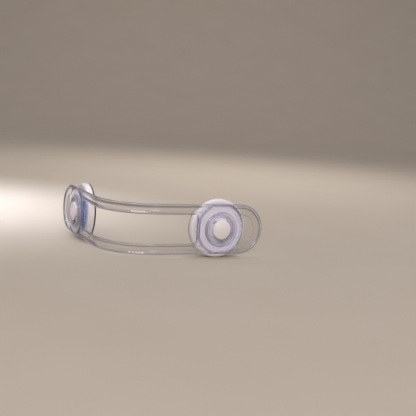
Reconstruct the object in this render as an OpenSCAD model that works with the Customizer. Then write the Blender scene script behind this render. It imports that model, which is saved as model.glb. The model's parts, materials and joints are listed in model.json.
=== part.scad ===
// Clear strap lock for a cabinet corner: two stick-on units joined by a flexible strap.
// +Z is up. The origin is the centre of the side unit's adhesive face, which looks along +X.
// The front unit's adhesive face looks along +Y. Each unit is drawn in its own frame, with z as
// the height above the panel and x running from the hub towards the bend of the strap.

/* [Adhesive pad] */
// Diameter of the foam pad
pad_d = 44.6; // [40:0.1:45]
// Thickness of the foam pad
pad_t = 1.2; // [0.8:0.1:2]

/* [Base] */
// Diameter of the base
base_d = 45; // [43:0.5:50]
// Height of the base above its pad
base_h = 5; // [4.9:0.1:7]
// Radius of the base's upper rim
base_round = 2.2; // [1:0.1:3]
// Wall of the base's skirt
skirt_wall = 1.5; // [1:0.1:2.5]
// Wall of the base's top
top_wall = 1.5; // [1:0.1:1.6]

/* [Back plate] */
// Thickness of the back plate
back_t = 1.4; // [1:0.1:1.5]
// Outer diameter of the ring that holds up the base's top
support_d = 26.4; // [22:0.5:34]
// Wall of the support ring
support_wall = 1.2; // [0.8:0.1:2]
// Clearance of the spring round the pin that centres it
pin_room = 0.35; // [0.2:0.05:0.6]
// Height of the pin that centres the spring
spring_pin_h = 1.2; // [0.6:0.1:2]

/* [Collet] */
// Outer diameter of the sleeve and of its fingers
sleeve_d = 13.2; // [12.8:0.1:13.6]
// Wall of the sleeve and of its fingers
sleeve_wall = 1.4; // [1.2:0.1:1.5]
// Thickness of the ledge that stops the plunger
ledge_t = 1; // [0.6:0.1:1.1]
// Thickness of the shoulder
shoulder_t = 1.1; // [0.6:0.1:1.4]
// Wall of the ribbed track under the strap
track_wall = 1.5; // [1.2:0.1:2.5]
// Thickness of the web between the shoulder and the track
track_web = 0.6; // [0.4:0.1:0.8]
// Number of ribs round the track
rib_count = 26; // [16:2:32]
// Radial depth of the ribs
rib_depth = 0.7; // [0.5:0.1:0.9]
// Gap between two ribs
rib_gap = 1.6; // [0.8:0.1:2]
// Gap between two fingers
finger_gap = 3.2; // [3:0.1:5.5]
// Reach of a hook beyond its finger
hook_reach = 2.1; // [1.9:0.1:2.4]
// Height of a hook
hook_h = 1.6; // [1.4:0.1:2]
// Reach of a snap barb under the base's top
barb_reach = 0.8; // [0.5:0.1:1.2]

/* [Button] */
// Diameter of the button's cap
cap_d = 14.4; // [12.8:0.1:15.4]
// Wall of the cap's rim
cap_wall = 0.8; // [0.6:0.1:0.9]
// Height of the cap's dome
dome_h = 1.1; // [0.6:0.1:1.6]
// Travel of the button
press_travel = 1.2; // [1:0.1:1.3]
// Outer diameter of the plunger
plunger_d = 7.3; // [7:0.1:7.5]
// Wall of the plunger
plunger_wall = 0.9; // [0.7:0.1:1]
// Diameter of the pin that the cap is pressed on
cap_pin_d = 3.6; // [3:0.1:4]

/* [Spring] */
// Wire of the button's spring
wire_d = 0.5; // [0.4:0.05:0.6]
// Clearance of the spring inside the plunger
spring_room = 0.4; // [0.2:0.05:0.6]
// Turns of the button's spring
spring_turns = 5; // [3:1:6]

/* [Collar] */
// Width of the collar's flange outside its funnel
crown_rim = 2.1; // [1:0.1:3]
// Thickness of the collar's flange
flange_t = 1.4; // [1:0.1:2]
// Diameter at the top of the collar's funnel
crown_d = 22.6; // [21:0.1:23.4]
// Outer diameter of the collar's sleeve
collar_d = 21.9; // [21.6:0.1:22.4]
// Width of the ring pressed on the collar's sleeve
ring_w = 0.6; // [0.5:0.05:3]
// Thickness of the lip that the hooks hold
lip_t = 1.2; // [0.9:0.1:1.6]
// How far the hooks reach over the lip
hook_bite = 0.7; // [0.4:0.1:0.8]

/* [Strap] */
// Height of the strap's underside above the base
strap_lift = 2; // [1.8:0.1:3]
// Width of the strap
strap_w = 38; // [34:0.5:44]
// Thickness of the strap
strap_t = 2.2; // [1.8:0.1:3]
// Width of each strand
strand_w = 8; // [5:0.5:10]
// Distance from the hub to the slot's straight end
slot_start = 19.2; // [17:0.1:24]
// Radius of the slot's corners
slot_round = 2.2; // [1:0.1:4]
// Distance from the hub to the tip of the tongue
tongue_end = 35.5; // [30:0.5:42]
// Distance from the hub to the start of the bend
strap_reach = 49; // [40:0.5:80]
// Radius of the bend at the strap's middle plane
bend_r = 38; // [25:0.5:60]
// Diameter of the raised circle on the plate
relief_d = 38.6; // [32:0.1:42]
// Height of the raised circle and of the tongue's rim
relief_h = 0.3; // [0.2:0.1:0.5]
// Width of the tongue's rim
rim_w = 2.8; // [1:0.1:4]
// Diameter of the dish in the tongue
dish_d = 23; // [18:0.5:28]
// Depth of the dish in the tongue
dish_depth = 0.4; // [0.2:0.1:0.8]

/* [Hidden] */
$fn = 96;

// Clearances and small sizes
overrun = 1;             // cuts run past the faces that they open
snap_gap = 0.1;          // base hole round the collet's sleeve, and barbs under the base's top
plate_gap = 0.1;         // back plate inside the base's skirt
slide_gap = 0.1;         // plunger in the collet's ledge
press_gap = 0.02;        // cap on the plunger's pin, and ring on the collar's sleeve
turn_gap = 0.05;         // strap round the collar's sleeve, and between its two flanges
rub_gap = 0.3;           // pieces that pass each other without touching
latch_play = 0.2;        // hooks above the collar's lip
lift_gap = 0.25;         // collar ring above the collet's shoulder
seat_gap = 0.05;         // each end of the spring
rim_gap = 0.2;           // cap's rim above the tips of the fingers
foot_gap = 0.1;          // plunger's foot under the collet's ledge
flex_gap = 0.2;          // between the two halves of the strap
nose_t = 0.25;           // blunt tip of a hook
tip_set = 0.6;           // tips of the fingers set in from their outer face
barb_t = 0.5;            // blunt edge of a barb
sleeve_lift = 0.6;       // sleeve above the back plate
leg_gap = 2.2;           // slots between the collet's snap legs
finger_turn = 45;        // slots between the fingers, turned from those between the legs
track_inset = 2;         // track inside the flat of the base's top
track_gap = 0.3;         // track below the strap
edge_wall = 0.3;         // cap's ceiling below the edge of its dome
boss_h = 2.1;            // cap's boss below its ceiling
boss_wall = 1.6;         // wall of the cap's boss
pin_short = 0.4;         // plunger's pin short of the boss's depth
crown_t = 0.8;           // closed top of the plunger
flange_edge = 0.4;       // bevel round the collar's flange
lead_in = 1.2;           // bevel that leads the hooks into the collar
neck_wall = 0.82;        // collar's sleeve outside its funnel, where the flange starts
half_turn_bend = 45;     // each half of the strap carries half of the corner's turn

// Radii
pad_r = pad_d / 2;
base_r = base_d / 2;
cavity_r = base_r - skirt_wall;
support_r = support_d / 2;
sleeve_r = sleeve_d / 2;
sleeve_in_r = sleeve_r - sleeve_wall;
hook_r = sleeve_r + hook_reach;
barb_r = sleeve_r + barb_reach;
cap_r = cap_d / 2;
dome_r = (cap_r * cap_r + dome_h * dome_h) / (2 * dome_h);
plunger_r = plunger_d / 2;
foot_r = sleeve_in_r - rub_gap;
cap_pin_r = cap_pin_d / 2;
wire_r = wire_d / 2;
coil_r = plunger_r - plunger_wall - spring_room - wire_r;
spring_pin_r = coil_r - wire_r - pin_room;
lip_r = hook_r - hook_bite;
funnel_r = hook_r + rub_gap;
crown_r = crown_d / 2;
flange_r = crown_r + crown_rim;
collar_r = collar_d / 2;
neck_r = collar_r - neck_wall;
ring_r = collar_r + press_gap + ring_w;
shoulder_r = collar_r;
track_r = base_r - base_round - track_inset;
strap_half_w = strap_w / 2;
slot_half_w = strap_half_w - strand_w;
relief_r = relief_d / 2;
dish_r = dish_d / 2;

// Heights above the panel
z_back_top = pad_t + back_t;
z_base_top = pad_t + base_h;
z_under_top = z_base_top - top_wall;
z_sleeve = z_back_top + sleeve_lift;
z_ledge = z_base_top - ledge_t;
z_shoulder = z_base_top + shoulder_t;
z_strap = z_base_top + strap_lift;
z_web = z_base_top + track_web;
z_track = z_strap - track_gap;
z_strap_top = z_strap + strap_t;
z_strap_mid = z_strap + strap_t / 2;
z_relief = z_strap_top + relief_h;
z_ring = z_shoulder + lift_gap;
z_lip_top = z_strap + lip_t;
z_flange = z_relief + turn_gap;
z_flange_top = z_flange + flange_t;
z_hook = z_lip_top + latch_play;
z_finger_top = z_hook + hook_h;
z_rim = z_finger_top + rim_gap;
z_ceiling = z_finger_top + press_travel + foot_gap;
z_dome_edge = z_ceiling + edge_wall;
z_dome_top = z_dome_edge + dome_h;
z_plunger_top = z_ceiling - boss_h;
z_bore_top = z_plunger_top - crown_t;
z_foot_top = z_ledge - foot_gap;
z_foot = z_back_top + press_travel + rub_gap;

// The strap bends about an axis this far behind the adhesive faces, at the end of its straight run
bend_drop = bend_r - z_strap_mid;
tongue_x = tongue_end - strap_half_w;
half_bend = half_turn_bend - asin(flex_gap / 2 / bend_r);
flex_r = bend_r + strap_t / 2;
spring_z0 = z_back_top + seat_gap + wire_r;
spring_z1 = z_bore_top - seat_gap - wire_r;
spring_pitch = (spring_z1 - spring_z0) / spring_turns;
curl_rings = 8;
wire_sides = 6;

echo(bend_centre = [bend_drop, -strap_reach, 0], flex_from_bend = flex_r, flex_turn = half_turn_bend);
echo(unit_height = z_dome_top, strap_mid_height = z_strap_mid);
echo(spring_gap_to_itself = spring_pitch - wire_d);

// Places of the two units: the front one is the side one swung round the whole bend
module on_side() {
    rotate([90, 0, -90]) children();
}

module on_front() {
    on_side()
        translate([strap_reach, 0, -bend_drop])
            rotate([0, 2 * half_turn_bend, 0])
                rotate(180)
                    translate([-strap_reach, 0, bend_drop]) children();
}

// A tube along the unit's axis
module ring(inner, outer, low, high) {
    translate([0, 0, low])
        difference() {
            cylinder(h = high - low, r = outer);
            translate([0, 0, -overrun]) cylinder(h = high - low + 2 * overrun, r = inner);
        }
}

// Foam pad with adhesive on both faces
module adhesive_pad() {
    color("#1c1c1f") cylinder(h = pad_t, r = pad_r);
}

// Plate that closes the base from behind, with a support ring and the spring's pin
module back_plate() {
    color("#e6e1de") {
        translate([0, 0, pad_t]) cylinder(h = back_t, r = cavity_r - plate_gap);
        ring(support_r - support_wall, support_r, z_back_top, z_under_top);
        translate([0, 0, z_back_top]) cylinder(h = spring_pin_h, r = spring_pin_r);
    }
}

// White disc shell with a round upper rim and a hole for the collet
module base() {
    color("#f3eeec")
        difference() {
            union() {
                translate([0, 0, pad_t]) cylinder(h = base_h - base_round, r = base_r);
                translate([0, 0, pad_t]) cylinder(h = base_h, r = base_r - base_round);
                translate([0, 0, z_base_top - base_round])
                    rotate_extrude() translate([base_r - base_round, 0]) circle(r = base_round);
            }
            translate([0, 0, pad_t - overrun]) cylinder(h = z_under_top - pad_t + overrun, r = cavity_r);
            translate([0, 0, pad_t]) cylinder(h = base_h + overrun, r = sleeve_r + snap_gap);
        }
}

// Slots that split the collet into legs or fingers, two crossing cuts
module cross_cut(width, reach, low, high) {
    for (turn = [0, 90])
        rotate(turn)
            translate([-reach, -width / 2, low]) cube([2 * reach, width, high - low]);
}

// Blue hub: snap legs below, shoulder and ribbed track in the gap, hooked fingers above
module collet() {
    bore_r = plunger_r + slide_gap;
    barb_top = z_under_top - snap_gap;
    outline = [
        [bore_r, z_ledge], [sleeve_in_r, z_ledge], [sleeve_in_r, z_sleeve], [sleeve_r, z_sleeve],
        [barb_r, barb_top - barb_t], [barb_r, barb_top], [sleeve_r, barb_top], [sleeve_r, z_base_top],
        [track_r, z_base_top], [track_r, z_track], [track_r - track_wall, z_track],
        [track_r - track_wall, z_web], [shoulder_r, z_web], [shoulder_r, z_shoulder],
        [sleeve_r, z_shoulder], [sleeve_r, z_hook], [hook_r, z_hook], [hook_r, z_hook + nose_t],
        [sleeve_r - tip_set, z_finger_top], [sleeve_in_r, z_finger_top], [sleeve_in_r, z_base_top],
        [bore_r, z_base_top]
    ];
    color("#3d7fd6", 0.75)
        difference() {
            rotate_extrude() polygon(outline);
            rotate(finger_turn)
                cross_cut(finger_gap, hook_r + overrun, z_shoulder, z_finger_top + overrun);
            cross_cut(leg_gap, barb_r + overrun, z_sleeve - overrun, z_ledge);
            for (i = [0 : rib_count - 1])
                rotate(i * 360 / rib_count)
                    translate([track_r - rib_depth, -rib_gap / 2, z_base_top - overrun])
                        cube([rib_depth + overrun, rib_gap, z_track - z_base_top + 2 * overrun]);
        }
}

// Points of one ring of the spring's wire, at a turn of angle a
function wire_ring(a) =
    let (
        out = [cos(a), sin(a), 0],
        climb = spring_pitch / 360,
        run = [-coil_r * sin(a) * PI / 180, coil_r * cos(a) * PI / 180, climb],
        along = run / norm(run),
        side = cross(along, out),
        middle = [coil_r * cos(a), coil_r * sin(a), spring_z0 + climb * a]
    )
    [for (j = [0 : wire_sides - 1])
        middle + wire_r * (cos(j * 360 / wire_sides) * out + sin(j * 360 / wire_sides) * side)];

// Coil spring between the back plate and the closed top of the plunger
module button_spring() {
    rings = spring_turns * curl_rings;
    points = [for (i = [0 : rings]) each wire_ring(i * 360 / curl_rings)];
    walls = [
        for (i = [0 : rings - 1], j = [0 : wire_sides - 1])
            let (
                a = i * wire_sides + j,
                b = i * wire_sides + (j + 1) % wire_sides
            )
            each [[a, a + wire_sides, b], [b, a + wire_sides, b + wire_sides]]
    ];
    last = rings * wire_sides;
    ends = [
        for (j = [1 : wire_sides - 2])
            each [[0, j, j + 1], [last, last + j + 1, last + j]]
    ];
    color("#b9bcc0") polyhedron(points = points, faces = concat(walls, ends));
}

// Hollow guide of the button, with a foot under the collet's ledge and a pin for the cap
module plunger() {
    color("#ece7e4")
        difference() {
            union() {
                translate([0, 0, z_foot]) cylinder(h = z_foot_top - z_foot, r = foot_r);
                translate([0, 0, z_foot]) cylinder(h = z_plunger_top - z_foot, r = plunger_r);
                translate([0, 0, z_foot]) cylinder(h = z_ceiling - pin_short - z_foot, r = cap_pin_r);
            }
            translate([0, 0, z_foot - overrun])
                cylinder(h = z_bore_top - z_foot + overrun, r = plunger_r - plunger_wall);
        }
}

// Domed cap whose rim drives the hooks inwards
module button_cap() {
    color("#f6f2f0")
        difference() {
            intersection() {
                translate([0, 0, z_rim]) cylinder(h = z_dome_top - z_rim, r = cap_r);
                translate([0, 0, z_dome_top - dome_r]) sphere(r = dome_r);
            }
            ring(cap_pin_r + boss_wall, cap_r - cap_wall, z_rim - overrun, z_ceiling);
            translate([0, 0, z_rim - overrun])
                cylinder(h = z_ceiling - z_rim + overrun, r = cap_pin_r + press_gap);
        }
    color("#f6f2f0") ring(cap_pin_r + press_gap, cap_pin_r + boss_wall, z_plunger_top, z_rim);
}

// Clear stepped ring in the strap's hole, with the lip that the hooks hold
module collar() {
    lead_r = min(lip_r + lead_in, neck_r);
    outline = [
        [lip_r, z_strap], [lip_r, z_lip_top], [funnel_r, z_lip_top], [neck_r, z_flange],
        [crown_r, z_flange_top], [flange_r - flange_edge, z_flange_top],
        [flange_r, z_flange_top - flange_edge], [flange_r, z_flange], [collar_r, z_flange],
        [collar_r, z_ring], [lead_r, z_ring]
    ];
    color("#cfdcf2", 0.5) rotate_extrude() polygon(outline);
}

// Clear ring pressed on the collar's sleeve under the strap
module collar_ring() {
    color("#cfdcf2", 0.5) ring(collar_r + press_gap, ring_r, z_ring, z_strap - turn_gap);
}

// The slot between the strands, open towards the bend
module slot_cut() {
    length = strap_reach - slot_start + overrun;
    height = strap_t + 2 * overrun;
    translate([slot_start, 0, z_strap - overrun]) {
        translate([slot_round, -slot_half_w, 0]) cube([length - slot_round, 2 * slot_half_w, height]);
        translate([0, slot_round - slot_half_w, 0]) cube([length, 2 * (slot_half_w - slot_round), height]);
        for (way = [-1, 1])
            translate([slot_round, way * (slot_half_w - slot_round), 0]) cylinder(h = height, r = slot_round);
    }
}

// Raised circle round the hub, cut off by the strap's edges, and the raised rim of the tongue
module relief() {
    translate([0, 0, z_strap_top])
        intersection() {
            cylinder(h = relief_h, r = relief_r);
            translate([-relief_r, -strap_half_w, 0])
                cube([relief_r + slot_start, strap_w, relief_h]);
        }
    translate([-tongue_x, 0, 0])
        intersection() {
            ring(strap_half_w - rim_w, strap_half_w, z_strap_top, z_relief);
            translate([-strap_w, -strap_w, z_strap_top]) cube([strap_w, 2 * strap_w, relief_h]);
        }
}

// Shallow dish in the tongue, outside the raised circle
module dish_cut() {
    difference() {
        translate([-tongue_x, 0, z_strap_top - dish_depth])
            cylinder(h = dish_depth + overrun, r = dish_r);
        translate([0, 0, z_strap]) cylinder(h = strap_t + 2 * overrun, r = relief_r);
    }
}

// The two strands round half of the corner
module half_of_bend() {
    translate([strap_reach, 0, z_strap_mid - bend_r])
        rotate([-90, -90, 0])
            for (low = [-strap_half_w, slot_half_w])
                rotate_extrude(angle = half_bend)
                    translate([bend_r - strap_t / 2, low]) square([strap_t, strand_w]);
}

// Half of the strap: tongue, plate with the hub's hole, two strands and half of the bend
module strap_half() {
    color("#dbe4f4", 0.4)
        difference() {
            union() {
                difference() {
                    union() {
                        translate([-tongue_x, 0, z_strap]) cylinder(h = strap_t, r = strap_half_w);
                        translate([-tongue_x, -strap_half_w, z_strap])
                            cube([tongue_x + strap_reach, strap_w, strap_t]);
                    }
                    slot_cut();
                    dish_cut();
                }
                relief();
                half_of_bend();
            }
            translate([0, 0, z_strap - overrun])
                cylinder(h = strap_t + relief_h + 2 * overrun, r = collar_r + turn_gap);
        }
}

module side_adhesive_pad() { on_side() adhesive_pad(); }
module side_back_plate() { on_side() back_plate(); }
module side_base() { on_side() base(); }
module side_collet() { on_side() collet(); }
module side_button_spring() { on_side() button_spring(); }
module side_plunger() { on_side() plunger(); }
module side_button_cap() { on_side() button_cap(); }
module side_collar() { on_side() collar(); }
module side_collar_ring() { on_side() collar_ring(); }
module strap_side_half() { on_side() strap_half(); }
module strap_front_half() { on_front() strap_half(); }
module front_adhesive_pad() { on_front() adhesive_pad(); }
module front_back_plate() { on_front() back_plate(); }
module front_base() { on_front() base(); }
module front_collet() { on_front() collet(); }
module front_button_spring() { on_front() button_spring(); }
module front_plunger() { on_front() plunger(); }
module front_button_cap() { on_front() button_cap(); }
module front_collar() { on_front() collar(); }
module front_collar_ring() { on_front() collar_ring(); }

side_adhesive_pad();
side_back_plate();
side_base();
side_collet();
side_button_spring();
side_plunger();
side_button_cap();
side_collar();
side_collar_ring();
strap_side_half();
strap_front_half();
front_adhesive_pad();
front_back_plate();
front_base();
front_collet();
front_button_spring();
front_plunger();
front_button_cap();
front_collar();
front_collar_ring();
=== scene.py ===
# %% [markdown]
# # A clear strap lock for a corner
# Two round stick-on units, one at the side and one in front, are joined by a clear strap that goes
# round a corner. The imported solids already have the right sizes. This lesson models each piece that
# shows again, with soft edges, and gives it a finish of its own.

import json
import math

import bmesh
import bpy
from mathutils import Matrix, Vector


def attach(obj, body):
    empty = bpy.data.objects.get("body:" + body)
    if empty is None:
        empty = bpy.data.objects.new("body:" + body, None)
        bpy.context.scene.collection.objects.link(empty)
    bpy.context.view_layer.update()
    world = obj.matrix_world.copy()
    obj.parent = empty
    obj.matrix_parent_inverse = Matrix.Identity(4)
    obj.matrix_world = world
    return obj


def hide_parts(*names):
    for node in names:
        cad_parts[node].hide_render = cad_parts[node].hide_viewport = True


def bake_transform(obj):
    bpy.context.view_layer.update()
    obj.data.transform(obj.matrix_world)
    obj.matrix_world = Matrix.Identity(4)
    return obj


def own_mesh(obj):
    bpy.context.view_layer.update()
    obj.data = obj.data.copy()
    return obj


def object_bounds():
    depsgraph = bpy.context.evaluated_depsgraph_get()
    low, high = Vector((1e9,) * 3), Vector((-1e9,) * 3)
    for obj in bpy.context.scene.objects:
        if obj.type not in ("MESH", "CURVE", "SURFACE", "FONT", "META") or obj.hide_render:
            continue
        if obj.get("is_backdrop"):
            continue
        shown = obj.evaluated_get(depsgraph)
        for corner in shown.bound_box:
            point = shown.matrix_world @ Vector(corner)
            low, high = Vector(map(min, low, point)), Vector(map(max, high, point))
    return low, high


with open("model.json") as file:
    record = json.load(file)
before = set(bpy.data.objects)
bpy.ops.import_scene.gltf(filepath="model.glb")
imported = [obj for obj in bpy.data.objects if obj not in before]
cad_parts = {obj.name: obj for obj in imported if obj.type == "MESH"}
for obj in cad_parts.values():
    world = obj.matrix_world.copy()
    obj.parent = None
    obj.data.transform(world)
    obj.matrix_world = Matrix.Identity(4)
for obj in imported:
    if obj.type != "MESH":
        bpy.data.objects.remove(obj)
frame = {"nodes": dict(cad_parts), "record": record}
cad_low, cad_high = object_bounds()
MM = 0.001

# %% [markdown]
# Both units are alike, so each piece is modelled once on a bench, where z is the height above the
# adhesive face and x runs from the hub towards the bend of the strap. A quarter turn then carries a
# copy to the side unit, and another to the front unit. The turn is applied to the mesh, so that
# every finished object sits at the origin, as the solids do.

# %% Places of the two units
front_hub = Vector(frame["record"]["mounts"][1]["pos_m"])
PLACES = {
    "side": Matrix(((0, 0, -1, 0), (-1, 0, 0, 0), (0, 1, 0, 0), (0, 0, 0, 1))),
    "front": Matrix((
        (-1, 0, 0, front_hub.x), (0, 0, -1, front_hub.y), (0, -1, 0, 0), (0, 0, 0, 1),
    )),
}
MERGE_WITHIN = 0.002 * MM


def start_fresh(*chosen):
    """Leaves edit mode and selects only the pieces named, the first of them active."""
    if bpy.context.object and bpy.context.object.mode != "OBJECT":
        bpy.ops.object.mode_set(mode="OBJECT")
    bpy.ops.object.select_all(action="DESELECT")
    for piece in reversed(chosen):
        piece.select_set(True)
        bpy.context.view_layer.objects.active = piece


def pick(kind, test):
    """Selects, in edit mode, the VERT, EDGE or FACE elements that pass the test."""
    bpy.ops.mesh.select_mode(type=kind)
    bpy.ops.mesh.select_all(action="DESELECT")
    shape = bmesh.from_edit_mesh(bpy.context.edit_object.data)
    for part in {"VERT": shape.verts, "EDGE": shape.edges, "FACE": shape.faces}[kind]:
        part.select_set(test(part))
    shape.select_flush_mode()
    bmesh.update_edit_mesh(bpy.context.edit_object.data)


def edit_all(kind):
    """Goes into edit mode and selects everything, by VERT, EDGE or FACE."""
    bpy.ops.object.mode_set(mode="EDIT")
    bpy.ops.mesh.select_mode(type=kind)
    bpy.ops.mesh.select_all(action="SELECT")


def clean_up():
    """Merges doubled points and turns all faces outwards, in edit mode."""
    edit_all("VERT")
    bpy.ops.mesh.remove_doubles(threshold=MERGE_WITHIN)
    bpy.ops.mesh.normals_make_consistent(inside=False)


def open_edges(piece):
    """Counts the edges that don't lie between exactly two faces."""
    shape = bmesh.new()
    shape.from_mesh(piece.data)
    count = sum(1 for edge in shape.edges if len(edge.link_faces) != 2)
    shape.free()
    return count


print("front hub at", [round(c / MM, 2) for c in front_hub], "mm")

# %% [markdown]
# Most pieces are round mouldings. A lathe profile could be spun, but extruding a circle ring by
# ring and scaling each new ring is quicker to read: each pair of numbers is a radius and a
# height. The sharp rings are then bevelled one by one, because real moulds have no sharp corners.

# %% Turning and rounding
RING_WITHIN = 0.003 * MM


def turn(outline, ring=True, sides=128):
    """Turns an outline of (radius, height) in mm. A ring closes on itself, a disc gets end caps."""
    start_fresh()
    radius, height = outline[0]
    bpy.ops.mesh.primitive_circle_add(
        vertices=sides, radius=radius * MM, location=(0, 0, height * MM),
        fill_type="NOTHING" if ring else "NGON",
    )
    piece = bpy.context.object
    bpy.ops.object.transform_apply()
    edit_all("EDGE")
    path = outline[1:] + outline[:1] if ring else outline[1:]
    for next_radius, next_height in path:
        step = (0, 0, (next_height - height) * MM)
        if ring:
            bpy.ops.mesh.extrude_edges_move(TRANSFORM_OT_translate={"value": step})
        else:
            bpy.ops.mesh.extrude_region_move(TRANSFORM_OT_translate={"value": step})
        grow = next_radius / radius
        bpy.ops.transform.resize(value=(grow, grow, 1), center_override=(0, 0, next_height * MM))
        radius, height = next_radius, next_height
    clean_up()
    return piece


def round_rings(rounds):
    """Rounds the ring at each (radius, height) by its own amount, all in mm, in edit mode."""
    for radius, height, amount, steps in rounds:
        spot = Vector((radius * MM, height * MM))
        pick("EDGE", lambda edge: all(
            (Vector((v.co.xy.length, v.co.z)) - spot).length < RING_WITHIN for v in edge.verts
        ))
        bpy.ops.mesh.bevel(offset=amount * MM, segments=steps, affect="EDGES", clamp_overlap=True)


print("lathe ready")

# %% [markdown]
# A moulding has flat faces between soft edges. Plain smooth shading would make the flats look
# swollen, so weighted normals keep them flat, by a modifier that is applied at once. A finished
# bench piece is then copied to both units, where it rides on a body and stands for a solid.

# %% Smoothing and fitting
def modify(piece, kind, **settings):
    """Adds a modifier to the piece, sets it and applies it."""
    start_fresh(piece)
    bpy.ops.object.modifier_add(type=kind)
    step = piece.modifiers[-1]
    for name, value in settings.items():
        setattr(step, name, value)
    bpy.ops.object.modifier_apply(modifier=step.name)


def smooth(piece, angle=35):
    """Shades the soft edges smooth and keeps the flats flat."""
    start_fresh(piece)
    bpy.ops.object.shade_smooth_by_angle(angle=math.radians(angle))
    modify(piece, "WEIGHTED_NORMAL", keep_sharp=True)


def fit_to_units(master, node, bodies, finish):
    """Copies the bench piece to both units, and each copy stands for that unit's solid."""
    master.data.materials.clear()
    master.data.materials.append(finish)
    made = {}
    for unit, place in PLACES.items():
        start_fresh(master)
        bpy.ops.object.duplicate()
        piece = bpy.context.object
        piece.name = f"{unit}_{node}_dressed"
        piece.data.name = piece.name
        piece.matrix_world = place
        bpy.ops.object.transform_apply()
        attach(piece, bodies.format(unit=unit))
        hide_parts(f"{unit}_{node}")
        made[unit] = piece
    print(f"{node}: {len(master.data.polygons)} faces, {open_edges(master)} open edges")
    bpy.data.objects.remove(master)
    return made


print("bench ready")

# %% [markdown]
# Finishes come before the pieces, so that each piece can take its own. A new material in Blender
# starts as one Principled shader. Every finish here adds some noise in Object coordinates, which
# are metres on this lock, so a scale of 1000 makes marks about a millimetre wide.

# %% Helpers for the finishes
NOISE_LOW, NOISE_HIGH = 0.3, 0.7  # most of a noise lies between these


def new_finish(name):
    """Makes a material and hands back its nodes, its links and its shader."""
    finish = bpy.data.materials.new(name)
    finish.use_nodes = True
    nodes, links = finish.node_tree.nodes, finish.node_tree.links
    return finish, nodes, links, nodes["Principled BSDF"]


def add_noise(nodes, links, scale, detail=3.0, stretch=(1, 1, 1)):
    """Adds noise in Object coordinates and hands back its even output."""
    place = nodes.new("ShaderNodeTexCoord")
    mapping = nodes.new("ShaderNodeMapping")
    mapping.inputs["Scale"].default_value = stretch
    noise = nodes.new("ShaderNodeTexNoise")
    noise.inputs["Scale"].default_value = scale
    noise.inputs["Detail"].default_value = detail
    links.new(place.outputs["Object"], mapping.inputs["Vector"])
    links.new(mapping.outputs["Vector"], noise.inputs["Vector"])
    return noise.outputs["Fac"]


def rescale(nodes, links, value, old, new):
    """Carries a value over from its old range to a new one, each a pair of numbers."""
    reach = nodes.new("ShaderNodeMapRange")
    for name, number in zip(("From Min", "From Max", "To Min", "To Max"), (*old, *new)):
        reach.inputs[name].default_value = number
    links.new(value, reach.inputs["Value"])
    return reach.outputs["Result"]


def spread(nodes, links, value, low, high):
    """Spreads a noise over a range from low to high."""
    return rescale(nodes, links, value, (NOISE_LOW, NOISE_HIGH), (low, high))


def two_tones(nodes, links, value, first, second, between=(NOISE_LOW, NOISE_HIGH)):
    """Fades between two colours, the first at the low end of a range and the second at the high."""
    ramp = nodes.new("ShaderNodeValToRGB")
    for stop, spot, colour in zip(ramp.color_ramp.elements, between, (first, second)):
        stop.position, stop.color = spot, (*colour, 1)
    links.new(value, ramp.inputs["Fac"])
    return ramp.outputs["Color"]


def raise_bumps(nodes, links, value, height, shader):
    """Turns a noise into fine bumps of a height in metres."""
    bump = nodes.new("ShaderNodeBump")
    bump.inputs["Strength"].default_value = 1.0
    bump.inputs["Distance"].default_value = height
    links.new(value, bump.inputs["Height"])
    links.new(bump.outputs["Normal"], shader.inputs["Normal"])


print("finish helpers ready")

# %% [markdown]
# The base, the button and the parts behind them are white moulded plastic with a satin skin. The
# skin is a fine spark grain of about a third of a millimetre, and the bump is only about a micron
# high, because more would look like sand. The tone drifts a little, as on a real moulding.

# %% White plastic
white_plastic, nodes, links, shader = new_finish("white_moulded_plastic")
tone = add_noise(nodes, links, 140)
links.new(
    two_tones(nodes, links, tone, (0.80, 0.735, 0.72), (0.85, 0.79, 0.775)),
    shader.inputs["Base Color"],
)
grain = add_noise(nodes, links, 3200, detail=2.0)
links.new(spread(nodes, links, grain, 0.22, 0.32), shader.inputs["Roughness"])
raise_bumps(nodes, links, grain, 0.0012 * MM, shader)
shader.inputs["IOR"].default_value = 1.5
print("white plastic ready")

# %% [markdown]
# See-through plastic needs more than a colour. Its tint depends on how steep a face stands and on
# how far light goes inside. Tracing the lamps through every clear face would be slow and noisy, so
# rays towards the lamps go straight through, with a slight tint, and light what lies behind.

# %% Helpers for see-through plastic
def face_share(nodes, links, name, low, high):
    """Reads a number kept on the faces, as a share from 0 at low to 1 at high."""
    kept = nodes.new("ShaderNodeAttribute")
    kept.attribute_name = name
    return rescale(nodes, links, kept.outputs["Fac"], (low, high), (0, 1))


def mix_colours(nodes, links, share, first, second):
    """Mixes two colours, each of them a socket or plain numbers."""
    mix = nodes.new("ShaderNodeMix")
    mix.data_type = "RGBA"
    links.new(share, mix.inputs["Factor"])
    for colour, socket in ((first, mix.inputs["A"]), (second, mix.inputs["B"])):
        if isinstance(colour, tuple):
            socket.default_value = (*colour, 1)
        else:
            links.new(colour, socket)
    return mix.outputs["Result"]


def let_lamps_through(nodes, links, shader, tint):
    """Lets the rays from lamps pass the plastic, so that what lies behind it is lit."""
    rays = nodes.new("ShaderNodeLightPath")
    clear = nodes.new("ShaderNodeBsdfTransparent")
    clear.inputs["Color"].default_value = (*tint, 1)
    mix = nodes.new("ShaderNodeMixShader")
    links.new(rays.outputs["Is Shadow Ray"], mix.inputs[0])
    links.new(shader.outputs["BSDF"], mix.inputs[1])
    links.new(clear.outputs["BSDF"], mix.inputs[2])
    links.new(mix.outputs["Shader"], nodes["Material Output"].inputs["Surface"])


def tint_depth(nodes, links, colour, density):
    """Gives the plastic more colour, the further light goes through it."""
    depth = nodes.new("ShaderNodeVolumeAbsorption")
    depth.inputs["Color"].default_value = (*colour, 1)
    depth.inputs["Density"].default_value = density
    links.new(depth.outputs["Volume"], nodes["Material Output"].inputs["Volume"])


print("see-through helpers ready")

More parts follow.
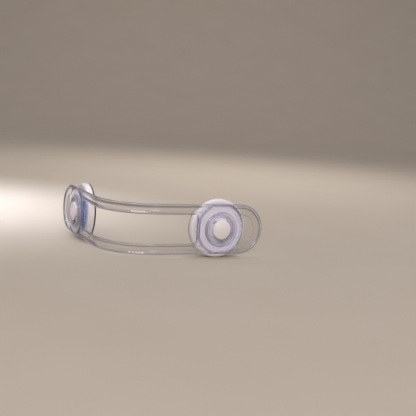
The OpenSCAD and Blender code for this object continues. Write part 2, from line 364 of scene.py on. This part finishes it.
# %% [markdown]
# The strap and the collars are clear plastic. Most of the look comes from real thickness: light
# bends at the round edges and leaves dark lines there. Real clear plastic is never quite without
# colour, so a volume takes up a little red and green on the way through. A thin wall stays clear.
# Each face keeps a number for how steep it stands, and the finish paints steep faces darker: partly
# the deeper tint of an edge, where light travels a long way inside, and partly painted shade that
# darkens the edge lines and the strands. The end of the slot keeps a second number, which paints a
# blue glow there, standing in for the light of the blue hub seen through the plate.

# %% Clear plastic
# Steep faces are painted darker between the first two shares, partly as shade, and let less light
# through.
WALL_FROM, WALL_FULL, FLAT_CLEARNESS, WALL_CLEARNESS = 0.004, 0.15, 1.0, 0.7
# The slot's end gets a painted blue glow; lamp rays through the plastic take a slight tint.
PAINTED_HUB_GLOW, LAMP_TINT = (0.20, 0.29, 0.58), (0.95, 0.95, 0.965)
DEPTH_TINT, DEPTH_DENSITY = (0.5, 0.505, 0.59), 75


def clear_finish(name, light, deep, wall, wave):
    """Makes a clear finish of two tints, with walls painted darker, partly as shade, and waves of a
    height in mm.
    """
    finish, nodes, links, shader = new_finish(name)
    drift = add_noise(nodes, links, 60, detail=1.0)
    flat = two_tones(nodes, links, drift, light, deep)
    # Steep faces take the wall colour: partly a deeper tint, partly painted shade on the edges.
    steep = face_share(nodes, links, "wall", WALL_FROM, WALL_FULL)
    # Marked faces take a painted blue glow, standing in for the hub's light seen through the plate.
    painted_hub_glow = face_share(nodes, links, "blue", 0, 1)
    edge = mix_colours(nodes, links, painted_hub_glow, wall, PAINTED_HUB_GLOW)
    links.new(mix_colours(nodes, links, steep, flat, edge), shader.inputs["Base Color"])
    clearness = rescale(nodes, links, steep, (0, 1), (FLAT_CLEARNESS, WALL_CLEARNESS))
    links.new(clearness, shader.inputs["Transmission Weight"])
    haze = add_noise(nodes, links, 900)
    links.new(spread(nodes, links, haze, 0.015, 0.06), shader.inputs["Roughness"])
    slow = add_noise(nodes, links, 160, detail=1.0)
    raise_bumps(nodes, links, slow, wave * MM, shader)
    shader.inputs["IOR"].default_value = 1.49
    let_lamps_through(nodes, links, shader, LAMP_TINT)
    tint_depth(nodes, links, DEPTH_TINT, DEPTH_DENSITY)
    return finish


# The third colour is the darker wall tint of steep faces, partly painted shade.
clear_strap = clear_finish(
    "clear_strap_plastic", (0.94, 0.935, 0.945), (0.92, 0.915, 0.93), (0.45, 0.43, 0.49), 0.03,
)
clear_collar = clear_finish(
    "clear_collar_plastic", (0.96, 0.955, 0.975), (0.94, 0.935, 0.96), (0.60, 0.58, 0.65), 0.02,
)
print("clear plastics ready")

# %% [markdown]
# The hub is translucent blue plastic. Seen through its flat top it is nearly clear, and seen along
# its walls it is deep blue, because light travels further there. The same share of steep faces
# that darkens the walls of the clear parts gives that here.

# %% Blue plastic
blue_plastic, nodes, links, shader = new_finish("blue_translucent_plastic")
tone = add_noise(nodes, links, 220)
flat = two_tones(nodes, links, tone, (0.94, 0.905, 0.925), (0.97, 0.94, 0.955))
steep = face_share(nodes, links, "wall", 0.2, 0.6)
links.new(mix_colours(nodes, links, steep, flat, (0.13, 0.30, 0.70)), shader.inputs["Base Color"])
haze = add_noise(nodes, links, 1500)
links.new(spread(nodes, links, haze, 0.10, 0.22), shader.inputs["Roughness"])
raise_bumps(nodes, links, haze, 0.006 * MM, shader)
shader.inputs["Transmission Weight"].default_value = 0.55
shader.inputs["IOR"].default_value = 1.5
let_lamps_through(nodes, links, shader, (0.97, 0.955, 0.965))
print("blue plastic ready")

# %% [markdown]
# The pads are dark closed-cell foam. Its cut edge shows small cells, which Voronoi noise draws
# well: each cell is a shallow pit about a third of a millimetre across.

# %% Foam and spring steel
dark_foam, nodes, links, shader = new_finish("dark_cell_foam")
place = nodes.new("ShaderNodeTexCoord")
cells = nodes.new("ShaderNodeTexVoronoi")
cells.inputs["Scale"].default_value = 2800
links.new(place.outputs["Object"], cells.inputs["Vector"])
links.new(
    two_tones(nodes, links, cells.outputs["Distance"], (0.010, 0.010, 0.012), (0.035, 0.035, 0.04)),
    shader.inputs["Base Color"],
)
raise_bumps(nodes, links, cells.outputs["Distance"], 0.12 * MM, shader)
shader.inputs["Roughness"].default_value = 0.92

spring_steel, nodes, links, shader = new_finish("drawn_spring_steel")
streaks = add_noise(nodes, links, 4000, stretch=(1, 1, 0.2))
links.new(
    two_tones(nodes, links, streaks, (0.50, 0.51, 0.53), (0.66, 0.67, 0.69)),
    shader.inputs["Base Color"],
)
links.new(spread(nodes, links, streaks, 0.22, 0.38), shader.inputs["Roughness"])
shader.inputs["Metallic"].default_value = 1.0
print("foam and steel ready")

# %% [markdown]
# The foam pad is a disc 44.6 mm across and 1.2 mm thick with a film of adhesive on each face. The
# foam core stands out a little between the films, as it does when such a pad is punched from a
# sheet.

# %% Foam pads
FILM_R, CORE_R, PAD_TOP = 22.15, 22.3, 1.2
pad = turn([
    (1, 0), (FILM_R, 0), (FILM_R, 0.12), (CORE_R, 0.2), (22.22, 0.6), (CORE_R, 1.0), (FILM_R, 1.08),
    (FILM_R, PAD_TOP), (1, PAD_TOP),
], ring=False)
smooth(pad, 50)
fit_to_units(pad, "adhesive_pad", "{unit}_unit", dark_foam)

# %% [markdown]
# The base is a white disc shell, 45 mm across, whose upper rim is a full round. It is open below,
# where the back plate closes it, and has a hole in the middle for the blue hub.

# %% Bases
BASE_R, BASE_INSIDE, BASE_HOLE = 22.5, 21, 6.7
BASE_LOW, BASE_ROOF, BASE_TOP = 1.2, 4.7, 6.2
base = turn([
    (BASE_HOLE, BASE_TOP), (BASE_R, BASE_TOP), (BASE_R, BASE_LOW), (BASE_INSIDE, BASE_LOW),
    (BASE_INSIDE, BASE_ROOF), (BASE_HOLE, BASE_ROOF),
])
round_rings([
    (BASE_R, BASE_TOP, 2.2, 10), (BASE_R, BASE_LOW, 0.35, 3), (BASE_INSIDE, BASE_LOW, 0.2, 2),
    (BASE_INSIDE, BASE_ROOF, 0.5, 3), (BASE_HOLE, BASE_TOP, 0.25, 3),
    (BASE_HOLE, BASE_ROOF, 0.25, 3),
])
smooth(base)
fit_to_units(base, "base", "{unit}_unit", white_plastic)

# %% [markdown]
# The hub and the strap have gaps, which turning can't make. Booleans cut them, with plain blocks as
# tools, and a bevel modifier softens every sharp edge afterwards, as a mould would. The finishes of
# see-through parts need to know which faces stand steep, so a number is kept on each face.

# %% Cutting tools and numbers on faces
UP = Vector((0, 0, 1))
SHARP_ANGLE = math.radians(40)


def boolean(piece, tool, way):
    """Cuts the tool out of the piece, or joins it on, and throws the tool away."""
    modify(piece, "BOOLEAN", operation=way, object=tool, solver="EXACT")
    bpy.data.objects.remove(tool)


def block(low, high):
    """Adds a block between two corners given in mm, as a tool for cutting."""
    start_fresh()
    size = [(b - a) * MM for a, b in zip(low, high)]
    middle = [(a + b) / 2 * MM for a, b in zip(low, high)]
    bpy.ops.mesh.primitive_cube_add(size=1, location=middle, scale=size)
    bpy.ops.object.transform_apply()
    return bpy.context.object


def soften(piece, width, steps):
    """Rounds every sharp edge by a width in mm."""
    modify(
        piece, "BEVEL", width=width * MM, segments=steps, limit_method="ANGLE",
        angle_limit=SHARP_ANGLE,
    )


def mark_faces(piece, name, value):
    """Keeps a number on each face, worked out from that face, for a finish to read."""
    layer = piece.data.attributes.new(name, "FLOAT", "FACE")
    for face in piece.data.polygons:
        layer.data[face.index].value = value(face)


def steepness(face, up=UP):
    """Says how steep a face stands, from 0 on a flat to 1 on a wall."""
    return 1 - abs(face.normal.dot(up))


print("cutting tools ready")

# %% [markdown]
# The blue hub is the busiest moulding: snap legs below, a track with 26 ribs in the gap under the
# strap, and four fingers with hooks that hold the collar. It is turned as one ring, and the gaps
# are cut with blocks. One block is spun into a wheel of copies, so the ribs are all alike. Only the
# faces that look outwards are deep blue.

# %% Blue hubs
HUB_R, BORE_R, LEDGE_R, SHOULDER_R, HOOK_R = 6.6, 5.2, 3.75, 10.95, 8.7
TRACK_R, TRACK_INSIDE, TRACK_TOP, WEB_LOW, WEB_TOP = 18.3, 16.8, 7.9, 6.25, 6.8
RIBS, RIB_GAP, RIB_FLOOR = 26, 1.6, 17.6
# Lowest and highest point of a pair of gaps, their width, their reach and their turn in degrees
FINGER_GAPS, LEG_GAPS = (7.32, 12, 3.2, 9.7, 45), (2, 5.18, 2.2, 8.4, 0)
hub = turn([
    (LEDGE_R, 5.2), (BORE_R, 5.2), (BORE_R, 3.2), (HUB_R, 3.2), (7.4, 4.1), (7.4, 4.6),
    (HUB_R, 4.6), (HUB_R, WEB_LOW), (TRACK_R, WEB_LOW), (TRACK_R, TRACK_TOP),
    (TRACK_INSIDE, TRACK_TOP), (TRACK_INSIDE, WEB_TOP), (SHOULDER_R, WEB_TOP), (SHOULDER_R, 7.3),
    (HUB_R, 7.3), (HUB_R, 9.6), (HOOK_R, 9.6), (HOOK_R, 9.85), (6.0, 11.2), (BORE_R, 11.2),
    (BORE_R, 6.2), (LEDGE_R, 6.2),
], sides=4 * RIBS)


def wheel(tool, copies):
    """Spins copies of a cutting block once round the hub."""
    start_fresh(tool)
    edit_all("VERT")
    bpy.ops.mesh.spin(
        steps=copies - 1, dupli=True, angle=2 * math.pi * (copies - 1) / copies,
        center=(0, 0, 0), axis=UP,
    )
    start_fresh(tool)
    return tool


notch = block(
    (RIB_FLOOR, -RIB_GAP / 2, WEB_LOW - 0.35), (TRACK_R + 0.7, RIB_GAP / 2, TRACK_TOP + 0.5),
)
boolean(hub, wheel(notch, RIBS), "DIFFERENCE")
for low, high, width, reach, turned in (FINGER_GAPS, LEG_GAPS):
    for quarter in (0, 90):
        gap = block((-reach, -width / 2, low), (reach, width / 2, high))
        gap.rotation_euler.z = math.radians(turned + quarter)
        bpy.ops.object.transform_apply()
        boolean(hub, gap, "DIFFERENCE")
start_fresh(hub)
clean_up()
soften(hub, 0.14, 2)
smooth(hub)
OUTSIDE_FROM, INNER_SHARE, DEEPEST = 6.4, 0.2, 0.9


def hub_tone(face):
    """Gives deep blue to the faces that look away from the axis, and little to all inner ones."""
    outwards = Vector((face.center.x, face.center.y, 0))
    looks_out = INNER_SHARE
    if outwards.length > OUTSIDE_FROM * MM:
        looks_out = max(0.0, face.normal.dot(outwards.normalized()))
    return DEEPEST * looks_out * steepness(face)


mark_faces(hub, "wall", hub_tone)
fit_to_units(hub, "collet", "{unit}_unit", blue_plastic)

# %% [markdown]
# The button is a white cap with a gently domed top. The dome is part of a sphere of 24.1 mm, so
# its heights come from that radius. Below it is hollow, with a boss for the plunger's pin.

# %% Button caps
DOME_R, DOME_TOP = 24.113, 13.9
dome = [
    (r, DOME_TOP - DOME_R + math.sqrt(DOME_R ** 2 - r ** 2))
    for r in (0.5, 1.5, 2.5, 3.5, 4.5, 5.4, 6.2, 6.8)
]
CAP_R, CAP_INSIDE, BOSS_R, PIN_R = 7.2, 6.4, 3.4, 1.82
CAP_EDGE, CAP_ROOF, CAP_LOW, BOSS_LOW = 12.8, 12.5, 11.4, 10.4
cap = turn(dome + [
    (CAP_R, CAP_EDGE), (CAP_R, CAP_LOW), (CAP_INSIDE, CAP_LOW), (CAP_INSIDE, CAP_ROOF),
    (BOSS_R, CAP_ROOF), (BOSS_R, BOSS_LOW), (PIN_R, BOSS_LOW), (PIN_R, CAP_ROOF),
], ring=False)
round_rings([
    (CAP_R, CAP_EDGE, 0.35, 5), (CAP_R, CAP_LOW, 0.2, 2), (CAP_INSIDE, CAP_LOW, 0.2, 2),
    (BOSS_R, BOSS_LOW, 0.15, 2),
])
smooth(cap)
fit_to_units(cap, "button_cap", "{unit}_button", white_plastic)

# %% [markdown]
# The collar is the clear stepped ring round the button. Its funnel goes down in small steps, which
# show as fine circles, to the lip that the hooks hold. A second clear ring under the strap keeps
# it in the strap's hole.

# %% Collars and their rings
collar = turn([
    (8.0, 8.2), (8.0, 9.4), (9.0, 9.4), (9.05, 10.3), (9.75, 10.4), (10.0, 11.2), (10.9, 11.3),
    (11.3, 12.15), (12.5, 12.15), (13.4, 11.3), (13.4, 10.75), (10.95, 10.75), (10.95, 7.55),
    (9.2, 7.55),
])
round_rings([
    (12.5, 12.15, 0.2, 3), (13.4, 11.3, 0.2, 3), (13.4, 10.75, 0.2, 3), (11.3, 12.15, 0.2, 3),
    (9.05, 10.3, 0.1, 2), (9.75, 10.4, 0.1, 2), (10.0, 11.2, 0.1, 2), (10.9, 11.3, 0.1, 2),
    (8.0, 9.4, 0.15, 2), (9.0, 9.4, 0.15, 2), (10.95, 7.55, 0.15, 2), (10.95, 10.75, 0.1, 2),
])
smooth(collar)
# Steep faces of the collar are painted darker, partly as shade.
mark_faces(collar, "wall", steepness)
fit_to_units(collar, "collar", "{unit}_collar_body", clear_collar)

RING_IN, RING_OUT, RING_LOW, RING_TOP = 10.97, 11.57, 7.55, 8.15
ring = turn([(RING_IN, RING_LOW), (RING_OUT, RING_LOW), (RING_OUT, RING_TOP), (RING_IN, RING_TOP)])
round_rings([
    (RING_OUT, RING_LOW, 0.15, 3), (RING_OUT, RING_TOP, 0.15, 3), (RING_IN, RING_LOW, 0.1, 2),
    (RING_IN, RING_TOP, 0.1, 2),
])
smooth(ring)
# Steep faces of the ring are painted darker, partly as shade.
mark_faces(ring, "wall", steepness)
fit_to_units(ring, "collar_ring", "{unit}_collar_body", clear_collar)

# %% [markdown]
# The spring under the button is a wire circle carried round the axis by a Screw modifier, five
# turns up. Each unit's copy gets a mesh of its own.

# %% Button springs
WIRE_R, WIRE_SIDES, COIL_R, COIL_LOW = 0.25, 10, 2.1, 2.9
COIL_PITCH, COIL_TURNS, COIL_STEPS = 1.28, 5, 28
start_fresh()
bpy.ops.mesh.primitive_circle_add(
    vertices=WIRE_SIDES, radius=WIRE_R * MM, rotation=(math.radians(90), 0, 0),
    location=(COIL_R * MM, 0, COIL_LOW * MM),
)
bpy.ops.object.transform_apply()
coil = bpy.context.object
modify(
    coil, "SCREW", screw_offset=COIL_PITCH * MM, iterations=COIL_TURNS, steps=COIL_STEPS,
    render_steps=COIL_STEPS,
)
edit_all("EDGE")
bpy.ops.mesh.fill_holes(sides=0)
clean_up()
smooth(coil, 50)
coils = fit_to_units(coil, "button_spring", "{unit}_unit", spring_steel)
for unit, piece in coils.items():
    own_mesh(piece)

# %% [markdown]
# The strap is one clear moulding: a tongue with a round end, a plate with the hub's hole and a
# raised circle, and two strands that go round the corner. Half of it is modelled flat. A half disc
# is stretched into a slab, the slot is cut out, and all its edges are rounded while they are still
# simple.

# %% Strap slab with its slot
STRAP_HALF, STRAP_LOW, STRAP_TOP, TONGUE_X, BEND_X = 19, 8.2, 10.4, -16.5, 49
SLOT_X, SLOT_HALF, SLOT_ROUND, EDGE_ROUND, SPARE = 19.2, 11, 2.2, 1.0, 4
CUT_LOW, CUT_TOP, STRAP_SIDES = 5, 14, 160
start_fresh()
bpy.ops.mesh.primitive_cylinder_add(
    vertices=STRAP_SIDES, radius=STRAP_HALF * MM, depth=(STRAP_TOP - STRAP_LOW) * MM,
    location=(TONGUE_X * MM, 0, (STRAP_LOW + STRAP_TOP) / 2 * MM),
)
strap = bpy.context.object
bpy.ops.object.transform_apply()
edit_all("VERT")
bpy.ops.mesh.bisect(
    plane_co=(TONGUE_X * MM, 0, 0), plane_no=(1, 0, 0), use_fill=True, clear_outer=True,
)
pick("FACE", lambda face: face.normal.x > 0.99
     and face.calc_center_median().x > (TONGUE_X - 0.5) * MM)
bpy.ops.mesh.extrude_region_move(
    TRANSFORM_OT_translate={"value": ((BEND_X + SPARE - TONGUE_X) * MM, 0, 0)},
)

slot = block((SLOT_X, -SLOT_HALF, CUT_LOW), (BEND_X + 2 * SPARE, SLOT_HALF, CUT_TOP))
bpy.ops.object.mode_set(mode="EDIT")
pick("EDGE", lambda edge: all(v.co.x < (SLOT_X + 1) * MM for v in edge.verts)
     and abs(edge.verts[0].co.z - edge.verts[1].co.z) > MM)
bpy.ops.mesh.bevel(offset=SLOT_ROUND * MM, segments=10, affect="EDGES")
boolean(strap, slot, "DIFFERENCE")
soften(strap, EDGE_ROUND, 6)
print("strap slab:", len(strap.data.polygons), "faces,", open_edges(strap), "open edges")

# %% [markdown]
# Each strand has a shallow trough along the middle of its outer face, between two round rims. On
# the tongue, a shallow dish gives the thumb a hold and a raised bead follows the edge. Troughs and
# dish are cut out with balls. A trough's ball is first pulled apart lengthways, and the dish's ball
# is flattened. The bead is a small flattened circle that is extruded, spun half round the tongue
# and extruded again.

# %% Troughs, dish and bead of the strap
BALL = {"segments": 96, "ring_count": 48}
TROUGH_Y, TROUGH_HALF, TROUGH_R, TROUGH_FROM = 15, 2.8, 5.6, 13
DISH_R, DISH_DEEP, DISH_LIFT = 11.6, 0.9, 0.05
trough_z = STRAP_TOP + math.sqrt(TROUGH_R ** 2 - TROUGH_HALF ** 2)
for side in (-1, 1):
    start_fresh()
    bpy.ops.mesh.primitive_uv_sphere_add(
        **BALL, radius=TROUGH_R * MM, rotation=(0, math.radians(90), 0),
        location=(TROUGH_FROM * MM, side * TROUGH_Y * MM, trough_z * MM),
    )
    trough = bpy.context.object
    bpy.ops.object.transform_apply()
    bpy.ops.object.mode_set(mode="EDIT")
    pick("VERT", lambda vert: vert.co.x > (TROUGH_FROM + 0.05) * MM)
    bpy.ops.transform.translate(value=((BEND_X + SPARE - TROUGH_FROM) * MM, 0, 0))
    boolean(strap, trough, "DIFFERENCE")

start_fresh()
bpy.ops.mesh.primitive_uv_sphere_add(
    **BALL, radius=1, location=(TONGUE_X * MM, 0, (STRAP_TOP + DISH_LIFT) * MM),
    scale=(DISH_R * MM, DISH_R * MM, DISH_DEEP * MM),
)
bpy.ops.object.transform_apply()
boolean(strap, bpy.context.object, "DIFFERENCE")

BEAD_Y, BEAD_HALF, BEAD_RISE, BEAD_END, BEAD_Z = 17.2, 1.2, 0.5, -5, 10.2
start_fresh()
bpy.ops.mesh.primitive_circle_add(
    vertices=28, radius=BEAD_HALF * MM, fill_type="NGON", rotation=(0, math.radians(90), 0),
    location=(BEAD_END * MM, BEAD_Y * MM, BEAD_Z * MM), scale=(BEAD_RISE / BEAD_HALF, 1, 1),
)
bead = bpy.context.object
bpy.ops.object.transform_apply()
edit_all("FACE")
bpy.ops.mesh.extrude_region_move(
    TRANSFORM_OT_translate={"value": ((TONGUE_X - BEAD_END) * MM, 0, 0)},
)
bpy.ops.mesh.spin(
    steps=64, angle=-math.pi, center=(TONGUE_X * MM, 0, BEAD_Z * MM), axis=UP,
)
bpy.ops.mesh.extrude_region_move(
    TRANSFORM_OT_translate={"value": ((BEAD_END - TONGUE_X) * MM, 0, 0)},
)
clean_up()
start_fresh(bead)
print("bead:", open_edges(bead), "open edges, from x",
      round(min(v.co.x for v in bead.data.vertices) / MM, 2), "mm")
boolean(strap, bead, "UNION")
print("strap with bead:", len(strap.data.polygons), "faces,", open_edges(strap), "open edges")

# %% [markdown]
# The raised circle round the hub is a disc with flat sides, which slopes down into a ring-shaped
# channel. The channel is cut first, then the disc is joined on, and the hub's hole goes through
# everything last.

# %% Raised circle and hole of the strap
CIRCLE_R, CIRCLE_TOP, FLAT_Y, FLAT_X, HOLE_R = 19.3, 10.7, 17.2, 17.2, 11
CHANNEL_Z, CHANNEL_IN, CHANNEL_OUT, CHANNEL_OPEN = 9.4, 17, CIRCLE_R + 0.7, 12
DISC_R, DISC_LOW = CIRCLE_R - 0.4, STRAP_LOW + 0.05
channel = turn([
    (CHANNEL_IN, CHANNEL_Z), (CIRCLE_R - 0.3, CHANNEL_Z), (CHANNEL_OUT, 10.5),
    (CHANNEL_OUT, CHANNEL_OPEN), (CHANNEL_IN, CHANNEL_OPEN),
], sides=STRAP_SIDES)
boolean(strap, channel, "DIFFERENCE")
disc = turn([
    (1, DISC_LOW), (DISC_R, DISC_LOW), (DISC_R, CHANNEL_Z - 0.05), (CIRCLE_R - 1.5, CIRCLE_TOP),
    (1, CIRCLE_TOP),
], ring=False, sides=STRAP_SIDES)
for way, out in (((0, 1, 0), FLAT_Y), ((0, -1, 0), FLAT_Y), ((1, 0, 0), FLAT_X)):
    bpy.ops.mesh.select_all(action="SELECT")
    bpy.ops.mesh.bisect(
        plane_co=[c * out * MM for c in way], plane_no=way, use_fill=True, clear_outer=True,
    )
pick("EDGE", lambda edge: edge.is_manifold and edge.calc_face_angle() > math.radians(20)
     and all(v.co.z > (CIRCLE_TOP - 0.01) * MM for v in edge.verts))
bpy.ops.mesh.bevel(offset=0.15 * MM, segments=3, affect="EDGES")
boolean(strap, disc, "UNION")

hole = turn([(1, CUT_LOW), (HOLE_R, CUT_LOW), (HOLE_R, CUT_TOP), (1, CUT_TOP)], ring=False)
boolean(strap, hole, "DIFFERENCE")
print("strap half:", len(strap.data.polygons), "faces,", open_edges(strap), "open edges")

# %% [markdown]
# The strands go round the corner. The slab is cut off where the bend starts, and the open ends are
# spun through half of the corner. A Mirror modifier, set on the middle of the bend by an empty,
# makes the other half and closes the seam.

# %% Bend and second half of the strap
BEND_R, STRAP_MID, HALF_TURN = 38, 9.3, math.radians(45)
# The floor of the channel gets painted shade, a dark outline round the raised circle.
CHANNEL_PAINTED_SHADE = 0.15
bend_centre = Vector((BEND_X * MM, 0, (STRAP_MID - BEND_R) * MM))
start_fresh(strap)
edit_all("VERT")
bpy.ops.mesh.bisect(plane_co=(BEND_X * MM, 0, 0), plane_no=(1, 0, 0), clear_outer=True)
pick("EDGE", lambda edge: edge.is_boundary and edge.verts[0].co.x > (BEND_X - 0.1) * MM)
bpy.ops.mesh.spin(steps=24, angle=-HALF_TURN, center=bend_centre, axis=(0, 1, 0))
start_fresh(strap)
print("strap reaches x", round(max(v.co.x for v in strap.data.vertices) / MM, 2), "mm")


def strap_up(spot):
    """Points out of the strap's face: up on the plate, away from the centre on the bend."""
    if spot.x <= BEND_X * MM:
        return UP
    return Vector((spot.x - bend_centre.x, 0, spot.z - bend_centre.z)).normalized()


def strap_tint_and_painted_shade(face):
    """Paints steep faces darker, partly as shade, and puts painted shade on the floor of the channel.
    """
    in_ring = (CHANNEL_IN - 0.1) * MM < face.center.xy.length < (CHANNEL_OUT + 0.5) * MM
    in_channel = in_ring and abs(face.center.z - CHANNEL_Z * MM) < 0.1 * MM
    return max(steepness(face, strap_up(face.center)), CHANNEL_PAINTED_SHADE * in_channel)


# Steep faces of the strap are painted darker, partly as shade, and the channel's floor gets painted
# shade.
mark_faces(strap, "wall", strap_tint_and_painted_shade)
# Paints a blue glow on the end of the slot, standing in for the hub's light seen through the plate.
mark_faces(strap, "blue", lambda face: float(
    face.normal.z < 0.5 and abs(face.center.x - SLOT_X * MM) < (EDGE_ROUND + 0.1) * MM
    and abs(face.center.y) < (SLOT_HALF + 0.5) * MM
))
bpy.ops.object.empty_add(location=bend_centre, rotation=(0, HALF_TURN, 0))
middle_of_bend = bpy.context.object
modify(strap, "MIRROR", mirror_object=middle_of_bend, merge_threshold=0.01 * MM)
bpy.data.objects.remove(middle_of_bend)
clean_up()
smooth(strap)
strap.name = strap.data.name = "strap_dressed"
strap.matrix_world = PLACES["side"]
bpy.ops.object.transform_apply()
strap.data.materials.clear()
strap.data.materials.append(clear_strap)
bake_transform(strap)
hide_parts("strap_side_half", "strap_front_half")
print("strap:", len(strap.data.polygons), "faces,", open_edges(strap), "open edges")

# %% [markdown]
# The back plates and the plungers stay as solids, because they lie hidden and their shape is
# already right. They still get the white finish, so that nothing is left plain.

# %% Finish of the hidden solids
for unit in PLACES:
    for node in ("back_plate", "plunger"):
        solid = frame["nodes"][f"{unit}_{node}"]
        solid.data.materials.clear()
        solid.data.materials.append(white_plastic)
print("hidden solids dressed")

# %% [markdown]
# The floor is one pale sheet that curves up far behind the lock, so no horizon shows. Its other
# sides are pulled out a long way, for views from behind. It turns with the camera, and the lock
# stands on it on the rims of its two bases.

# %% Floor
CAMERA_YAW = math.radians(25.16)
FLOOR_SIZE, FLOOR_RISE, FLOOR_BEND, FLOOR_REACH = 6, 3, 1.5, 27
OUTER = FLOOR_SIZE / 2 - 0.1
floor_paint, nodes, links, shader = new_finish("pale_floor")
speck = add_noise(nodes, links, 12, detail=2.0)
links.new(
    two_tones(nodes, links, speck, (0.48, 0.412, 0.335), (0.495, 0.427, 0.35)),
    shader.inputs["Base Color"],
)
shader.inputs["Roughness"].default_value = 0.8
start_fresh()
bpy.ops.mesh.primitive_plane_add(
    size=FLOOR_SIZE, location=(0, 0, cad_low.z), rotation=(0, 0, -CAMERA_YAW),
)
floor = bpy.context.object
floor.name = "floor"
bpy.ops.object.mode_set(mode="EDIT")
pick("EDGE", lambda edge: all(v.co.y > OUTER for v in edge.verts))
bpy.ops.mesh.extrude_region_move(TRANSFORM_OT_translate={"value": (0, 0, FLOOR_RISE)})
pick("EDGE", lambda edge: all(v.co.y > OUTER and v.co.z < 0.1 for v in edge.verts))
bpy.ops.mesh.bevel(offset=FLOOR_BEND, segments=24, affect="EDGES")
for side in (Vector((1, 0, 0)), Vector((-1, 0, 0)), Vector((0, -1, 0))):
    pick("VERT", lambda vert: vert.co.dot(side) > OUTER)
    bpy.ops.transform.translate(value=FLOOR_REACH * (floor.matrix_world.to_3x3() @ side))
start_fresh(floor)
bpy.ops.object.shade_smooth()
floor.data.materials.append(floor_paint)
floor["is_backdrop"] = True
print("floor at z", round(cad_low.z / MM, 2), "mm")

# %% [markdown]
# The light is soft and comes mainly from the upper left in front, as the highlight on the button
# shows. A broad light above and weak ones from the right and the front keep the clear parts full
# of gentle reflections. Clear plastic shows what lies behind it, so two narrow lights brighten the
# floor there, one far behind and a cooler one on the left. A last one lights the sheet at the back.

# %% Lights
def soft_light(name, place, aim, wide, high, power, tint, spread=180):
    """Adds a rectangular area light that looks at a point, with its spread in degrees."""
    start_fresh()
    towards = (Vector(aim) - Vector(place)).to_track_quat("-Z", "Y").to_euler()
    bpy.ops.object.light_add(type="AREA", location=place, rotation=towards)
    light = bpy.context.object
    light.name = name
    light.data.shape = "RECTANGLE"
    light.data.size, light.data.size_y = wide, high
    light.data.energy, light.data.color = power, tint
    light.data.spread = math.radians(spread)


LOCK_MIDDLE = (0.04, -0.05, 0)
soft_light("key_light", (-0.56, -1.05, 0.85), LOCK_MIDDLE, 0.8, 0.35, 8.0, (1, 0.97, 0.95))
soft_light("top_light", (0.1, -0.15, 1.2), LOCK_MIDDLE, 0.6, 0.4, 4, (1, 0.98, 1))
soft_light("fill_light", (0.9, -0.9, 0.5), LOCK_MIDDLE, 0.8, 0.8, 1.5, (1, 0.98, 0.98))
soft_light("front_light", (0.2, -1.08, 0.2), (0.08, -0.08, 0), 0.3, 0.3, 0.9, (1, 0.99, 0.98))
soft_light(
    "back_light", (0.42, 0.62, 0.9), (0.4, 0.48, -0.02), 0.5, 0.4, 0.9, (1, 0.97, 0.94), 70,
)
soft_light(
    "floor_light", (-0.22, 0.26, 0.6), (-0.12, 0.2, -0.02), 0.2, 0.2, 0.62, (0.80, 0.85, 1), 40,
)
soft_light("backdrop_light", (0.6, 1.0, 1.9), (1.1, 2.7, 0.1), 1.5, 1.0, 5, (1, 0.96, 0.92), 130)

# %% [markdown]
# The world adds a weak, even light, dusky below and pale above, which the clear edges mirror. Rays
# go through many clear faces, one behind the other, so they may bounce more often than usual.

# %% World
SKY_BELOW, SKY_ABOVE, SKY_RANGE = (0.20, 0.18, 0.27), (0.97, 0.95, 1), (0.0, 0.75)
SKY_STRENGTH, BOUNCES = 0.42, 40
world = bpy.context.scene.world or bpy.data.worlds.new("studio")
bpy.context.scene.world = world
world.use_nodes = True
sky_nodes, sky_links = world.node_tree.nodes, world.node_tree.links
place = sky_nodes.new("ShaderNodeTexCoord")
parts = sky_nodes.new("ShaderNodeSeparateXYZ")
sky_links.new(place.outputs["Generated"], parts.inputs["Vector"])
sky = two_tones(sky_nodes, sky_links, parts.outputs["Z"], SKY_BELOW, SKY_ABOVE, SKY_RANGE)
sky_links.new(sky, sky_nodes["Background"].inputs["Color"])
sky_nodes["Background"].inputs["Strength"].default_value = SKY_STRENGTH
bpy.context.scene.view_settings.view_transform = "Standard"
bpy.context.scene.cycles.max_bounces = BOUNCES
bpy.context.scene.cycles.transmission_bounces = BOUNCES
print("world:", world.name, "with", BOUNCES, "bounces")

# %% [markdown]
# The camera stands in front of the lock, a little to the left and above, with a long lens. Its
# place and turn were worked out from the outlines of both units.

# %% Camera
CAMERA_PITCH, CAMERA_ROLL = math.radians(7.71), math.radians(4.08)
CAMERA_PLACE, FOCAL_PIXELS, FRAME_PIXELS, SENSOR = (-0.19654, -0.64681, 0.0999), 833.04, 416, 36
ahead = Vector((
    math.sin(CAMERA_YAW) * math.cos(CAMERA_PITCH), math.cos(CAMERA_YAW) * math.cos(CAMERA_PITCH),
    -math.sin(CAMERA_PITCH),
))
level = Vector((math.cos(CAMERA_YAW), -math.sin(CAMERA_YAW), 0))
above = level.cross(ahead)
right = math.cos(CAMERA_ROLL) * level + math.sin(CAMERA_ROLL) * above
up = -math.sin(CAMERA_ROLL) * level + math.cos(CAMERA_ROLL) * above
start_fresh()
bpy.ops.object.camera_add(location=CAMERA_PLACE)
camera = bpy.context.object
turned_view = Matrix((right, up, -ahead)).transposed().to_4x4()
camera.matrix_world = Matrix.Translation(CAMERA_PLACE) @ turned_view
camera.data.sensor_width = SENSOR
camera.data.lens = FOCAL_PIXELS / FRAME_PIXELS * SENSOR
camera.data.clip_start = 0.01
bpy.context.scene.camera = camera
print("lens:", round(camera.data.lens, 2), "mm")

# %% Sizes and finish
low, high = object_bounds()
print("dressed box, mm:", [round((b - a) / MM, 2) for a, b in zip(low, high)])
